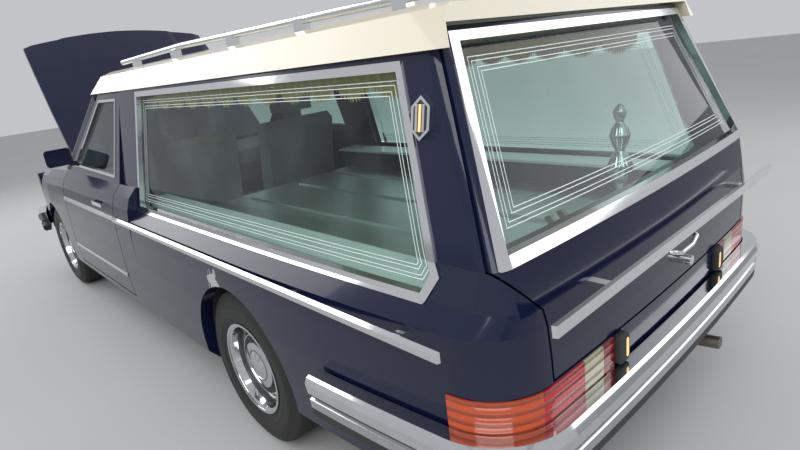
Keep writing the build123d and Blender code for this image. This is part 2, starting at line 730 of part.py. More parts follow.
def tyre():
    """Road tyre about the y axis."""
    w = TYRE_W / 2
    with BuildPart() as ring:
        with BuildSketch(Plane.YZ):
            with BuildLine():
                FilletPolyline((-w + 14, RIM_R + 0.2), (-w, RIM_R + 34), (-w, TYRE_R - 50), (-w + 22, TYRE_R - 6), (-60, TYRE_R),
                               (60, TYRE_R), (w - 22, TYRE_R - 6), (w, TYRE_R - 50), (w, RIM_R + 34), (w - 14, RIM_R + 0.2),
                               radius=12)
                Line((-w + 14, RIM_R + 0.2), (w - 14, RIM_R + 0.2))
            make_face()
        revolve(axis=Axis.Y)
    return ring.part


def rear_bumper():
    """Rear bumper: chrome blade with a groove, wrapped round to the wheel arches."""
    with BuildPart() as blade:
        loft([rear_outline(z, 0, 78, 0, 185, -out) for z, out in BUMPER_LEVELS], ruled=True)
        with BuildPart(mode=Mode.PRIVATE) as core:
            loft([rear_outline(z, 0, 78, 0, 185, -8, DOOR_REAR + 10) for z in (200, 700)], ruled=True)
        add(core.part, mode=Mode.SUBTRACT)
        block(BUMPER_END, LENGTH, -1200, 1200, 0, 1000, mode=Mode.SUBTRACT)
        for side in (1, -1):
            block(REAR_FACE - 20, REAR_FACE + 60, *sorted((side * 380, side * 440)), 430, 500)
            block(BUMPER_END - 90, BUMPER_END - 40, *sorted((side * 860, side * 908)), 430, 500)
        add(rear_body(-0.3), mode=Mode.SUBTRACT)
    return blade.part


def bumper_line(z, out=0):
    """Plan of the front bumper at one height, moved outward."""
    half = [(NOSE - 340, WING_NOSE_Y + 64), (NOSE - 60, WING_NOSE_Y + 9), (NOSE + 7, WING_NOSE_Y - 96), (NOSE + 20, 0)]
    with BuildSketch(Plane.XY.offset(z)) as sketch:
        with BuildLine():
            Polyline(*half, *[(x, -y) for x, y in reversed(half[:-1])], close=True)
        make_face()
        if out:
            offset(amount=out, kind=Kind.INTERSECTION)
    return sketch.sketch


def front_bumper():
    """Front bumper: the same blade drawn round the nose."""
    with BuildPart() as blade:
        loft([bumper_line(z, out) for z, out in BUMPER_LEVELS], ruled=True)
        extrude(bumper_line(0), amount=1000, mode=Mode.SUBTRACT)
        block(0, NOSE - 340, -1200, 1200, 0, 1000, mode=Mode.SUBTRACT)
        for y in (-410, 410):
            block(NOSE + 0.3, NOSE + 30, y - 30, y + 30, 430, 500)
    return blade.part


def side_rail():
    """Left side rail: a flat chrome rail on three brackets, with the strip low on the flank."""
    x0, x1 = RAIL_REAR, DOOR_REAR - GAP
    with BuildPart() as rail:
        cross_prism([(RAIL_Y - 4, 754), (RAIL_Y + 8, 757), (RAIL_Y + 10, 775), (RAIL_Y - 4, 781)], x0, x1)
        for x in RAIL_BRACKETS:
            block(REAR_AXLE + x - 13, REAR_AXLE + x + 13, HALF_WIDTH - 60, RAIL_Y, 760, 774)
        add(rear_body(-0.3, DOOR_REAR + 10), mode=Mode.SUBTRACT)
    return rail.part


def gate_rail():
    """Rail across the tailgate with its two brackets, and the pull handle with its lock."""
    x = REAR_AXLE - 1281
    with BuildPart() as rail:
        side_prism([(x - 9, 812), (x + 5, 809), (x + 7, 838), (x - 7, 840)], -745, 745)
        for y in (-480, 480):
            block(x, REAR_FACE + 60, y - 13, y + 13, 814, 828)
        grip = REAR_FACE - 30
        add(tube([(grip + 50, 92, 772), (grip + 2, 88, 768), (grip - 2, 40, 752), (grip - 2, -40, 752),
                  (grip + 2, -88, 768), (grip + 50, -92, 772)], 7, 12))
        with Locations((grip + 22, -40, 700)):
            Cylinder(15, 50, rotation=(0, 90, 0))
        add(rear_body(-0.3), mode=Mode.SUBTRACT)
    return rail.part


def roof_rail():
    """Left roof rail: a tube carried by five feet."""
    points = [(REAR_AXLE + 1400, RAIL_ROOF_Y, 1546), (REAR_AXLE + 600, RAIL_ROOF_Y, 1556), (REAR_AXLE - 880, RAIL_ROOF_Y, 1534)]
    with BuildPart() as rail:
        add(tube(points, 13))
        for x in RAIL_FEET:
            block(REAR_AXLE + x - 26, REAR_AXLE + x + 26, RAIL_ROOF_Y - 15, RAIL_ROOF_Y + 15, 1490, 1546)
        add(roof_block(-0.3), mode=Mode.SUBTRACT)
    return rail.part


def coach_lamp():
    """Left coach lamp on the rear pillar: a tall hexagon."""
    with BuildPart() as lamp:
        side_prism([(LAMP_X - 29, 1236), (LAMP_X, 1212), (LAMP_X + 29, 1236), (LAMP_X + 29, 1288), (LAMP_X, 1312),
                    (LAMP_X - 29, 1288)], 600, 900)
        add(rear_body(-20), mode=Mode.INTERSECT)
        add(rear_body(-0.3), mode=Mode.SUBTRACT)
    return lamp.part


def deck():
    """Load floor with two runners and the side ledges."""
    x0, x1 = REAR_FACE + 100, DOOR_REAR - 60
    with BuildPart() as plate:
        block(x0, x1, -640, 640, DECK_Z - 18, DECK_Z)
        for y in (-470, -170, 170, 470):
            block(x0 + 90, x1 - 120, y - 16, y + 16, DECK_Z, DECK_Z + 12)
        for side in (1, -1):
            leg = sorted((side * 530, side * 556))
            block(x0 + 20, x1 - 20, *leg, 520.3, DECK_Z - 18)
            low = sorted((side * 470, side * 500))
            block(REAR_AXLE + 480, x1 - 20, *low, FLOOR_Z + 0.3, DECK_Z - 18)
        block(x1 - 24, x1, -640, 640, FLOOR_Z + 0.3, DECK_Z)
        block(REAR_AXLE + 340, x1 + 10, -152, 152, 0, 425, mode=Mode.SUBTRACT)
        block(x0 - 1, REAR_AXLE + 475, -700, 700, 0, 520.3, mode=Mode.SUBTRACT)
    return plate.part


def inner_panels():
    """Left trim between the deck and the window, with its ledge."""
    with BuildPart() as panel:
        block(REAR_AXLE - 1100, DOOR_REAR - 40, 641, 664, DECK_Z - 14, 822)
        block(REAR_AXLE - 1100, DOOR_REAR - 40, 600, 752, 822, 834)
        add(rear_body(WALL + 0.5, DOOR_REAR + 10), mode=Mode.INTERSECT)
    return panel.part


def casket_stop():
    """Stop at the rear of the deck: a plate with two arms and a ring."""
    x = REAR_AXLE - 900
    with BuildPart() as stop:
        block(x - 40, x + 40, -60, 60, DECK_Z + 0.3, DECK_Z + 10)
        for side in (1, -1):
            side_prism([(x - 24, DECK_Z + 8), (x + 24, DECK_Z + 8), (x + 90, DECK_Z + 96), (x + 66, DECK_Z + 104)],
                       *sorted((side * 26, side * 48)))
        with Locations((x, 0, DECK_Z + 18)):
            Cylinder(20, 20)
    return stop.part


def seat():
    """Left front seat: base, cushion, back and headrest."""
    x, y = SEAT
    with BuildPart() as chair:
        block(x - 200, x + 200, y - 190, y + 190, FLOOR_Z + 0.3, 420)
        side_prism([(x - 240, 420), (x + 260, 420), (x + 280, 520), (x + 250, 560), (x - 240, 530)], y - 255, y + 255)
        side_prism([(x - 250, 430), (x - 130, 470), (x - 250, 1080), (x - 330, 1100), (x - 380, 1060)], y - 250, y + 250)
        side_prism([(x - 300, 1090), (x - 262, 1090), (x - 270, 1170), (x - 300, 1170)], y - 60, y + 60)
        side_prism([(x - 330, 1140), (x - 240, 1140), (x - 232, 1220), (x - 262, 1290), (x - 330, 1280)], y - 130, y + 130)
    return chair.part


def dashboard():
    """Dashboard with the steering column."""
    with BuildPart() as board:
        side_prism([(COWL - 24.3, 905), (COWL - 24.3, 640), (COWL - 150, 600), (COWL - 330, 640), (COWL - 380, 760),
                    (COWL - 340, 860), (COWL - 200, 905)], -700, 700)
        add(tube([(COWL - 200, WHEEL_Y, 700), STEER_BASE], 26))
    return board.part


def steering_wheel():
    """Rim, spokes and hub, set on the column."""
    with BuildPart() as wheel:
        Torus(190, 13)
        Cylinder(44, 40)
        for turn in (0, 180, 270):
            with Locations(Rot(0, 0, turn) * Pos(110, 0, 0)):
                Box(150, 34, 14)
        with Locations((0, 0, -20)):
            Cylinder(12, 22, align=(Align.CENTER, Align.CENTER, Align.MAX))
    return Plane(origin=STEER_CENTRE, x_dir=(0, 1, 0), z_dir=STEER_AXIS) * wheel.part


def engine():
    """Engine with its gearbox, air cleaner and the fan in front."""
    with BuildPart() as block_:
        block(COWL + 60, FRONT_AXLE + 190, -170, 170, 470, 740)
        block(COWL + 70, FRONT_AXLE + 170, -120, 120, 740, 800)
        for side in (1, -1):
            block(FRONT_AXLE - 40, FRONT_AXLE + 40, *sorted((side * 90, side * 160)), 430, 471)
        side_prism([(COWL + 160, 640), (COWL + 160, 300), (COWL - 420, 300), (COWL - 420, 350), (COWL + 30, 372), (COWL + 60, 640)], -90, 90)
        with Locations((FRONT_AXLE - 130, 0, 830)):
            Cylinder(185, 62)
        with Locations((FRONT_AXLE + 225, 0, 600)):
            Cylinder(60, 72, rotation=(0, 90, 0))
        block(FRONT_AXLE + 236, FRONT_AXLE + 252, -26, 26, 410, 790)
        block(FRONT_AXLE + 236, FRONT_AXLE + 252, -190, 190, 574, 626)
    return block_.part


def radiator():
    """Radiator core between its tanks."""
    x = NOSE - 260
    with BuildPart() as core:
        block(x, x + 50, -310, 310, 430, 790)
        block(x - 6, x + 56, -350, -310, 430, 800)
        block(x - 6, x + 56, 310, 350, 430, 800)
    return core.part


def battery():
    """Battery and the washer bottle beside it."""
    with BuildPart() as box:
        block(COWL + 12, COWL + 156, -680, -430, 520.3, 720)
        block(COWL + 20, COWL + 150, 440, 660, 520.3, 700)
    return box.part


def front_suspension():
    """Cross member, lower arms and spring struts of the front axle."""
    with BuildPart() as axle:
        block(FRONT_AXLE - 60, FRONT_AXLE + 60, -482, 482, 330, 429.7)
        block(FRONT_AXLE - 60, FRONT_AXLE + 60, -400, 400, 300, 331)
        for side in (1, -1):
            add(tube([(FRONT_AXLE - 160, side * 380, 262), (FRONT_AXLE, side * 624, 226)], 17))
            add(tube([(FRONT_AXLE + 130, side * 380, 262), (FRONT_AXLE, side * 624, 226)], 17))
            block(FRONT_AXLE - 175, FRONT_AXLE + 150, *sorted((side * 350, side * 400)), 245, 330)
            add(tube([(FRONT_AXLE, side * 590, 236), (FRONT_AXLE - 20, side * 588, 656)], 32))
    return axle.part


def knuckle():
    """Left front hub carrier: upright, stub axle and brake disc."""
    with BuildPart() as carrier:
        block(FRONT_AXLE - 36, FRONT_AXLE + 36, 652, 690, 215, 430)
        with Locations((FRONT_AXLE, 690, TYRE_R)):
            Cylinder(30, TRACK_Y + 60 - 690, rotation=(-90, 0, 0), align=(Align.CENTER, Align.CENTER, Align.MIN))
        with Locations((FRONT_AXLE, 700, TYRE_R)):
            Cylinder(125, 16, rotation=(90, 0, 0))
    return carrier.part


def rear_axle():
    """Rear axle: final drive, half shafts, arms, springs and the stub axles."""
    with BuildPart() as axle:
        block(REAR_AXLE - 110, REAR_AXLE + 130, -105, 105, 235, 420)
        with Locations((REAR_AXLE, 0, TYRE_R)):
            Cylinder(30, 2 * TRACK_Y + 120, rotation=(90, 0, 0))
        for side in (1, -1):
            side_prism([(REAR_AXLE - 70, 290), (REAR_AXLE + 60, 250), (REAR_AXLE + 420, 235), (REAR_AXLE + 420, 270),
                        (REAR_AXLE + 60, 350), (REAR_AXLE - 70, 370)], *sorted((side * 470, side * 530)))
            with Locations((REAR_AXLE, side * 690, TYRE_R)):
                Cylinder(125, 16, rotation=(90, 0, 0))
            add(tube([(REAR_AXLE - 40, side * 500, 330), (REAR_AXLE - 40, side * 500, 495)], 42))
        add(tube([(REAR_AXLE + 120, 0, 330), (COWL - 440, 0, 325)], 32))
        block(REAR_AXLE - 60, REAR_AXLE + 60, -560, 560, 420, 440)
    return axle.part


def exhaust():
    """Exhaust pipe with its two silencers."""
    with BuildPart() as pipe:
        add(tube([(COWL - 300, -210, 230), (REAR_AXLE + 600, -210, 230), (REAR_AXLE + 480, -320, 190),
                  (REAR_AXLE - 420, -320, 190), (REAR_FACE - 10, -420, 222)], 24))
        block(REAR_AXLE - 1000, REAR_AXLE - 440, -520, -250, 215, 345)
        block(REAR_AXLE + 700, REAR_AXLE + 1200, -300, -160, 200, 264)
        block(REAR_AXLE + 940, REAR_AXLE + 960, -240, -220, 263, 267.7)
        block(REAR_AXLE - 730, REAR_AXLE - 700, -400, -370, 340, 375.7)
    return pipe.part


def fuel_tank():
    """Fuel tank and spare wheel well under the rear floor."""
    with BuildPart() as tank:
        block(REAR_AXLE - 1010, REAR_AXLE - 440, -180, 470, 235, 375.5)
        fillet(tank.edges(), 24)
    return tank.part


SHELL = rear_shell()
save_both(body_side(SHELL), "body_side")
save(rear_panel(SHELL), "rear_panel")
save_pair(tail_lamp(), "tail_lamps")
save(tailgate(SHELL), "tailgate")
save(gate_frame(), "tailgate_frame")
save(gate_glass(), "tailgate_glass")
save_pair(window_frame(), "window_frames")
save_pair(side_glass(), "side_glass")
save_both(door(), "door")
save_both(door_glass(), "door_glass")
save_both(door_trim(), "door_trim")
save_both(mirror_housing(), "mirror")
save_pair(front_wing(), "front_wings")
save(bonnet(), "bonnet")
save(nose_panel(), "nose_panel")
save_pair(headlamp(), "headlamps")
save(grille(), "grille")
save(screen_surround(), "screen_surround")
save(windscreen(), "windscreen")
save(roof(), "roof")
save_pair(sills(), "sills")
save(floor_pan(), "floor_pan")
save(firewall(), "firewall")
save_pair(inner_wing(), "inner_wings")
save_pair(rear_wheelhouse(), "rear_wheelhouses")
for axle, end in ((FRONT_AXLE, "front"), (REAR_AXLE, "rear")):
    for side, hand in ((1, "left"), (-1, "right")):
        turn = Rot(0, 0, 0) if side > 0 else Rot(0, 0, 180)
        save(Pos(axle, side * TRACK_Y, TYRE_R) * turn * wheel_rim(), f"wheel_{end}_{hand}")
        save(Pos(axle, side * TRACK_Y, TYRE_R) * turn * tyre(), f"tyre_{end}_{hand}")
save(rear_bumper(), "rear_bumper")
save(front_bumper(), "front_bumper")
save_pair(side_rail(), "side_rails")
save(gate_rail(), "tailgate_rail")
save_pair(roof_rail(), "roof_rails")
save_pair(coach_lamp(), "coach_lamps")
save(deck(), "deck")
save_pair(inner_panels(), "inner_panels")
save(casket_stop(), "casket_stop")
save_pair(seat(), "front_seats")
save(dashboard(), "dashboard")
save(steering_wheel(), "steering_wheel")
save(engine(), "engine")
save(radiator(), "radiator")
save(battery(), "battery")
save(front_suspension(), "front_suspension")
save_both(knuckle(), "knuckle")
save(rear_axle(), "rear_axle")
save(exhaust(), "exhaust")
save(fuel_tank(), "fuel_tank")
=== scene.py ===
"""Looks of a hearse, dressed around its CAD frame.

Everything is in metres in the frame of the CAD part: +X forward, +Y to the left, +Z up, with the
origin on the floor between the wheels. Each sub-assembly is a class that holds its sizes as fields
and builds its own meshes; each finish is a frozen dataclass that builds its material once.
"""

import json
import logging
import math
from dataclasses import dataclass, field
from enum import Enum

import bpy
import numpy as np
from mathutils import Matrix, Vector
from mathutils.bvhtree import BVHTree

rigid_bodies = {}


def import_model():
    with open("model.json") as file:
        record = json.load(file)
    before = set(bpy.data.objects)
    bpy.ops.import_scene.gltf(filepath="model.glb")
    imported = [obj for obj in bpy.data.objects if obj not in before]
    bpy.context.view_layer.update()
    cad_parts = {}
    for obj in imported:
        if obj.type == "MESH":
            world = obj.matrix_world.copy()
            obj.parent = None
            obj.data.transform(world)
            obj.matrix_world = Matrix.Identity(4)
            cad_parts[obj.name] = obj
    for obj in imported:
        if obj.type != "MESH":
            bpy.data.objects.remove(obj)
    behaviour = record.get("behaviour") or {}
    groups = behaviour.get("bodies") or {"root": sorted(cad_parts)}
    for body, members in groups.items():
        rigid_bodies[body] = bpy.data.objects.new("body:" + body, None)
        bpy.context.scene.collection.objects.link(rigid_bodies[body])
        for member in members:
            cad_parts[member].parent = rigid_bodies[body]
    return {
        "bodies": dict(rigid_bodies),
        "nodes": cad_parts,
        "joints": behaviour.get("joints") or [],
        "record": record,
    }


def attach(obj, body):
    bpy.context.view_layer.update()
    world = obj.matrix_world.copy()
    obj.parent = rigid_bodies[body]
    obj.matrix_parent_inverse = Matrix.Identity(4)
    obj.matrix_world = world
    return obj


log = logging.getLogger("hearse")

REAR_AXLE = -1.2495
FRONT_AXLE = 1.6855
HUB_Z = 0.318
TRACK_Y = 0.768

# Chipped paint over the left rear arch
CHIP = (-1.15, 0.889, 0.675)
CHIP_COLOR = (0.42, 0.42, 0.41)
CHIP_REACH = 0.10
CHIP_LEVEL = -0.006
CHIP_SCALE = 38.0

# Corners of the panes inside their frames: (x, z) at the side, (y, z) at the tailgate
SIDE_WINDOW = ((-0.2335, 0.828), (-0.2435, 1.392), (-2.1155, 1.390), (-2.2655, 0.905), (-2.2115, 0.830))
GATE_WINDOW = ((0.742, 0.962), (0.622, 1.424), (-0.622, 1.424), (-0.742, 0.962))

# Rays that find a face start clear of the hearse
BEHIND_X = -3.5
BESIDE_Y = 1.5

CLEARCOAT_ROUGHNESS = 0.04
RELIEF_DISTANCE = 0.001
BAND_RELIEF = 0.9
WELD_DISTANCE = 0.00002

# Dust on glass: colour, size of its clouds and the part of them that shows
DUST_COLOR = (0.75, 0.78, 0.78)
DUST_SCALE = 5.0
DUST_FROM = 0.4
DUST_TO = 0.8
MIRROR_ROUGHNESS = 0.02

# Dirt on banded finishes
DIRT_SCALE = 14.0
DIRT_COLOR = (0.72, 0.72, 0.72)

# Tread of the tyres: the radius where it starts, the slant and width of its bars, its grooves and side rings
TREAD_RADIUS = 0.309
TREAD_SLANT = 90.0
TREAD_BAR = -0.55
GROOVE_WAVE = 190.0
GROOVE_WIDTH = -0.75
RING_WAVE = 700.0
RING_DEPTH = 0.12


class Measure(Enum):
    """What a banded finish measures to choose its band."""

    HEIGHT = "height"
    ACROSS = "across"
    AXLE = "axle"


class Relief(Enum):
    """Pattern of a finish's fine relief."""

    GRAIN = "grain"
    WEAVE = "weave"


class Graph:
    """A new material with short ways to add and join its nodes."""

    def __init__(self, name: str) -> None:
        """Starts the material.

        Args:
            name: Name of the material.
        """
        self.material = bpy.data.materials.new(name)
        self.material.use_nodes = True
        self.tree = self.material.node_tree
        self.shader = self.tree.nodes["Principled BSDF"]
        self.place = self.add("TexCoord").outputs["Object"]

    def add(self, kind: str, inputs: dict | None = None, **settings: object) -> bpy.types.Node:
        """Adds a node.

        Args:
            kind: Type of the node without its ShaderNode prefix.
            inputs: Value or socket for each of its inputs, by name or number.
            settings: Properties of the node itself.

        Returns:
            The new node.
        """
        node = self.tree.nodes.new(f"ShaderNode{kind}")
        for key, value in settings.items():
            setattr(node, key, value)
        self.feed(node, inputs or {})
        return node

    def feed(self, node: bpy.types.Node, inputs: dict) -> None:
        """Sets or joins inputs of a node.

        Args:
            node: The node.
            inputs: Value or socket for each input, by name or number.
        """
        for key, value in inputs.items():
            if isinstance(value, bpy.types.NodeSocket):
                self.tree.links.new(value, node.inputs[key])
            else:
                node.inputs[key].default_value = value

    def noise(self, scale: float, detail: float | None = None) -> bpy.types.NodeSocket:
        """Adds a noise over the object's own coordinates.

        Args:
            scale: Scale of the noise.
            detail: Its detail, or None for the node's own.

        Returns:
            The noise's factor.
        """
        inputs = {"Scale": scale, "Vector": self.place}
        if detail is not None:
            inputs["Detail"] = detail
        return self.add("TexNoise", inputs).outputs["Fac"]

    def mix(self, factor: object, first: object, second: object, **settings: object) -> bpy.types.NodeSocket:
        """Mixes two colours.

        Args:
            factor: Value or socket of the share of the second.
            first: First colour or socket.
            second: Second colour or socket.
            settings: Properties of the node, such as its blend type.

        Returns:
            The mixed colour.
        """
        node = self.add("Mix", data_type="RGBA", **settings)
        self.feed(node, {0: factor, 6: first, 7: second})
        return node.outputs[2]

    def math(self, operation: str, *values: object) -> bpy.types.NodeSocket:
        """Adds one maths node.

        Args:
            operation: What it works out.
            values: A number or a socket for each input.

        Returns:
            The result.
        """
        return self.add("Math", dict(enumerate(values)), operation=operation).outputs[0]

    def bump(self, height: bpy.types.NodeSocket, strength: float, distance: float) -> None:
        """Gives the shader a relief.

        Args:
            height: Height of the relief.
            strength: Strength of the bump.
            distance: Depth of the relief in metres.
        """
        node = self.add("Bump", {"Strength": strength, "Distance": distance, "Height": height})
        self.feed(self.shader, {"Normal": node.outputs["Normal"]})


@dataclass(frozen=True)
class Finish:
    """A painted, plastic, metal or cloth surface with procedural variation."""

    name: str
    color: tuple
    second: tuple | None = None
    metallic: float = 0.0
    roughness: float = 0.5
    rough_spread: float = 0.1
    scale: float = 8.0
    bump: float = 0.0
    bump_scale: float = 400.0
    coat: float = 0.0
    sheen: float = 0.0
    relief: Relief = Relief.GRAIN
    glow: float = 0.0
    specular: float = 0.5
    chip: tuple | None = None

    def material(self) -> bpy.types.Material:
        """Builds the material, or finds the one already built.

        Returns:
            The Blender material of this finish.
        """
        found = bpy.data.materials.get(self.name)
        if found:
            return found
        graph = Graph(self.name)
        cloud = graph.noise(self.scale, 6.0)
        second = self.second or tuple(0.8 * c for c in self.color)
        paint = graph.mix(cloud, (*self.color, 1.0), (*second, 1.0))
        spread = graph.add("MapRange", {
            "Value": cloud,
            "To Min": max(self.roughness - self.rough_spread, 0.01),
            "To Max": min(self.roughness + self.rough_spread, 1.0)})
        graph.feed(graph.shader, {
            "Base Color": self._chipped(graph, paint),
            "Roughness": spread.outputs["Result"],
            "Metallic": self.metallic,
            "Specular IOR Level": self.specular,
            "Coat Weight": self.coat,
            "Coat Roughness": CLEARCOAT_ROUGHNESS,
            "Sheen Weight": self.sheen})
        if self.glow:
            graph.feed(graph.shader, {"Emission Color": (*self.color, 1.0), "Emission Strength": self.glow})
        if self.bump:
            graph.bump(self._height(graph), self.bump, RELIEF_DISTANCE)
        return graph.material

    def _chipped(self, graph: Graph, paint: bpy.types.NodeSocket) -> bpy.types.NodeSocket:
        """Mixes in bare primer where the paint has flaked round the chip's place.

        Args:
            graph: The material's graph.
            paint: The colour of the sound paint.

        Returns:
            The colour with the chip, or the paint itself where there is none.
        """
        if self.chip is None:
            return paint
        away = graph.add("VectorMath", {0: graph.place, 1: self.chip}, operation="DISTANCE").outputs["Value"]
        edge = graph.math("MULTIPLY_ADD", graph.noise(CHIP_SCALE, 4.0), -CHIP_REACH, away)
        mask = graph.math("LESS_THAN", edge, CHIP_LEVEL)
        return graph.mix(mask, paint, (*CHIP_COLOR, 1.0))

    def _height(self, graph: Graph) -> bpy.types.NodeSocket:
        """Works out the fine relief: a weave of two crossed waves, or a grain of small noise.

        Args:
            graph: The material's graph.

        Returns:
            The height of the relief.
        """
        if self.relief is Relief.GRAIN:
            return graph.noise(self.bump_scale)
        inputs = {"Scale": self.bump_scale, "Vector": graph.place}
        waves = [graph.add("TexWave", inputs, bands_direction=way).outputs["Fac"] for way in ("X", "Z")]
        return graph.math("ADD", *waves)


@dataclass(frozen=True)
class Glass:
    """Clear or tinted pane: light passes straight through it and its face mirrors by Fresnel."""

    name: str
    tint: tuple
    ior: float = 1.45
    haze: float = 0.0

    def material(self) -> bpy.types.Material:
        """Builds the material, or finds the one already built.

        Returns:
            The Blender material of this pane.
        """
        found = bpy.data.materials.get(self.name)
        if found:
            return found
        graph = Graph(self.name)
        graph.tree.nodes.remove(graph.shader)
        clear = graph.add("BsdfTransparent", {"Color": (*self.tint, 1.0)})
        mirror = graph.add("BsdfGlossy", {"Roughness": MIRROR_ROUGHNESS})
        fresnel = graph.add("Fresnel", {"IOR": self.ior})
        facing = graph.math("SUBTRACT", 1.0, graph.add("NewGeometry").outputs["Backfacing"])
        shine = graph.math("MULTIPLY", fresnel.outputs["Fac"], facing)
        pane = graph.add("MixShader", {0: shine, 1: clear.outputs[0], 2: mirror.outputs[0]})
        level = graph.add("MapRange", {
            "Value": graph.noise(DUST_SCALE, 8.0),
            "From Min": DUST_FROM,
            "From Max": DUST_TO,
            "To Max": self.haze})
        film = graph.add("BsdfDiffuse", {"Color": (*DUST_COLOR, 1.0)})
        dusty = graph.add("MixShader", {0: level.outputs["Result"], 1: pane.outputs[0], 2: film.outputs[0]})
        graph.feed(graph.tree.nodes["Material Output"], {"Surface": dusty.outputs[0]})
        return graph.material


@dataclass(frozen=True)
class Banded:
    """A finish that changes in bands with height, with the distance from the middle or from an axle.

    Each stop is (distance in metres, colour, metallic, roughness). Ribs are fine waves along Z, and
    blocks are the tread bars round a tyre.
    """

    name: str
    measure: Measure
    stops: tuple
    centre: tuple = (0.0, 0.0)
    ribs: float = 0.0
    rib_depth: float = 0.001
    coat: float = 0.0
    blocks: int = 0

    def material(self) -> bpy.types.Material:
        """Builds the material, or finds the one already built.

        Returns:
            The Blender material of this finish.
        """
        found = bpy.data.materials.get(self.name)
        if found:
            return found
        graph = Graph(self.name)
        x, y, z = graph.add("SeparateXYZ", {0: graph.place}).outputs
        dx = dz = None
        if self.measure is Measure.HEIGHT:
            value = z
        elif self.measure is Measure.ACROSS:
            value = graph.math("ABSOLUTE", y)
        else:
            dx = graph.math("SUBTRACT", x, self.centre[0])
            dz = graph.math("SUBTRACT", z, self.centre[1])
            squares = graph.math("ADD", graph.math("MULTIPLY", dx, dx), graph.math("MULTIPLY", dz, dz))
            value = graph.math("SQRT", squares)
        colors, surfaces = self._ramps(graph, value)
        dirty = graph.mix(graph.noise(DIRT_SCALE, 6.0), colors, (*DIRT_COLOR, 1.0), blend_type="MULTIPLY")
        parts = graph.add("SeparateColor", {0: surfaces})
        graph.feed(graph.shader, {
            "Base Color": dirty, "Metallic": parts.outputs[0], "Roughness": parts.outputs[1],
            "Coat Weight": self.coat})
        if self.ribs:
            wave = graph.math("SINE", graph.math("MULTIPLY", z, 2.0 * math.pi / self.ribs))
            graph.bump(graph.math("ABSOLUTE", wave), BAND_RELIEF, self.rib_depth)
        elif self.blocks:
            graph.bump(self._tread(graph, y, dx, dz, value), BAND_RELIEF, self.rib_depth)
        return graph.material

    def _ramps(self, graph: Graph, value: bpy.types.NodeSocket) -> tuple:
        """Adds the two stepped ramps over the bands.

        Args:
            graph: The material's graph.
            value: The measured distance.

        Returns:
            The band's colour, and a colour that holds its metallic and roughness.
        """
        low, high = self.stops[0][0], self.stops[-1][0]
        span = graph.add("MapRange", {"Value": value, "From Min": low, "From Max": high})
        ramps = []
        for surface_ramp in (False, True):
            ramp = graph.add("ValToRGB", {0: span.outputs["Result"]})
            ramp.color_ramp.interpolation = "CONSTANT"
            elements = ramp.color_ramp.elements
            while len(elements) < len(self.stops):
                elements.new(0.5)
            for element, (place, color, metallic, roughness) in zip(elements, self.stops):
                element.position = (place - low) / (high - low)
                element.color = (metallic, roughness, 0.0, 1.0) if surface_ramp else (*color, 1.0)
            ramps.append(ramp.outputs[0])
        return tuple(ramps)

    def _tread(self, graph: Graph, y: bpy.types.NodeSocket, dx: bpy.types.NodeSocket, dz: bpy.types.NodeSocket,
               radius: bpy.types.NodeSocket) -> bpy.types.NodeSocket:
        """Works out a tyre's relief: slanted bars and grooves on the crown, fine rings on the sides.

        Args:
            graph: The material's graph.
            y: Place across the hearse.
            dx: Distance ahead of the axle.
            dz: Distance above the axle.
            radius: Distance from the axle.

        Returns:
            The height of the relief.
        """
        angle = graph.math("ARCTAN2", dz, dx)
        off_middle = graph.math("ABSOLUTE", graph.math("SUBTRACT", graph.math("ABSOLUTE", y), TRACK_Y))
        slant = graph.math("MULTIPLY", off_middle, TREAD_SLANT)
        turn = graph.math("ADD", graph.math("MULTIPLY", angle, float(self.blocks)), slant)
        bars = graph.math("GREATER_THAN", graph.math("SINE", turn), TREAD_BAR)
        across = graph.math("COSINE", graph.math("MULTIPLY", y, GROOVE_WAVE))
        tread = graph.math("MULTIPLY", bars, graph.math("GREATER_THAN", across, GROOVE_WIDTH))
        crown = graph.math("GREATER_THAN", radius, TREAD_RADIUS)
        wave = graph.math("SINE", graph.math("MULTIPLY", radius, RING_WAVE))
        rings = graph.math("MULTIPLY", wave, RING_DEPTH)
        side = graph.math("MULTIPLY", graph.math("SUBTRACT", 1.0, crown), rings)
        return graph.math("ADD", graph.math("MULTIPLY", crown, tread), side)


# Finishes: first and second colour in linear RGB
PAINT_LOOK = {"roughness": 0.16, "rough_spread": 0.05, "scale": 3.0, "coat": 0.25, "specular": 0.35}
NAVY = Finish("navy_gloss_paint", (0.004, 0.007, 0.030), (0.006, 0.010, 0.038), **PAINT_LOOK)
NAVY_CHIPPED = Finish("navy_chipped_paint", NAVY.color, NAVY.second, chip=CHIP, **PAINT_LOOK)
CREAM = Finish("cream_gloss_paint", (0.70, 0.64, 0.50), (0.64, 0.58, 0.45), roughness=0.3, scale=2.5, coat=0.6)
CHROME = Finish("bright_chrome", (0.80, 0.81, 0.82), (0.70, 0.71, 0.72), metallic=1.0, roughness=0.09,
                rough_spread=0.05, scale=14.0)
BLACK = Finish("black_plastic", (0.02, 0.02, 0.022), roughness=0.45, scale=30.0, bump=0.15)
TRIM = Finish("dark_trim", (0.05, 0.055, 0.07), (0.035, 0.04, 0.05), roughness=0.6, scale=12.0, bump=0.2,
              bump_scale=700.0)
UNDERBODY = Finish("underbody_paint", (0.02, 0.02, 0.024), (0.035, 0.033, 0.03), roughness=0.7, scale=9.0,
                   bump=0.3, bump_scale=90.0)
CAST = Finish("cast_metal", (0.10, 0.095, 0.09), (0.06, 0.05, 0.045), metallic=0.7, roughness=0.6, scale=16.0,
              bump=0.4, bump_scale=220.0)
ALLOY = Finish("cast_alloy", (0.32, 0.32, 0.31), (0.22, 0.21, 0.2), metallic=0.9, roughness=0.5, scale=14.0,
               bump=0.3, bump_scale=260.0)
DECK = Finish("deck_sheet", (0.84, 0.88, 0.88), (0.78, 0.84, 0.85), roughness=0.3, scale=5.0, coat=0.2)
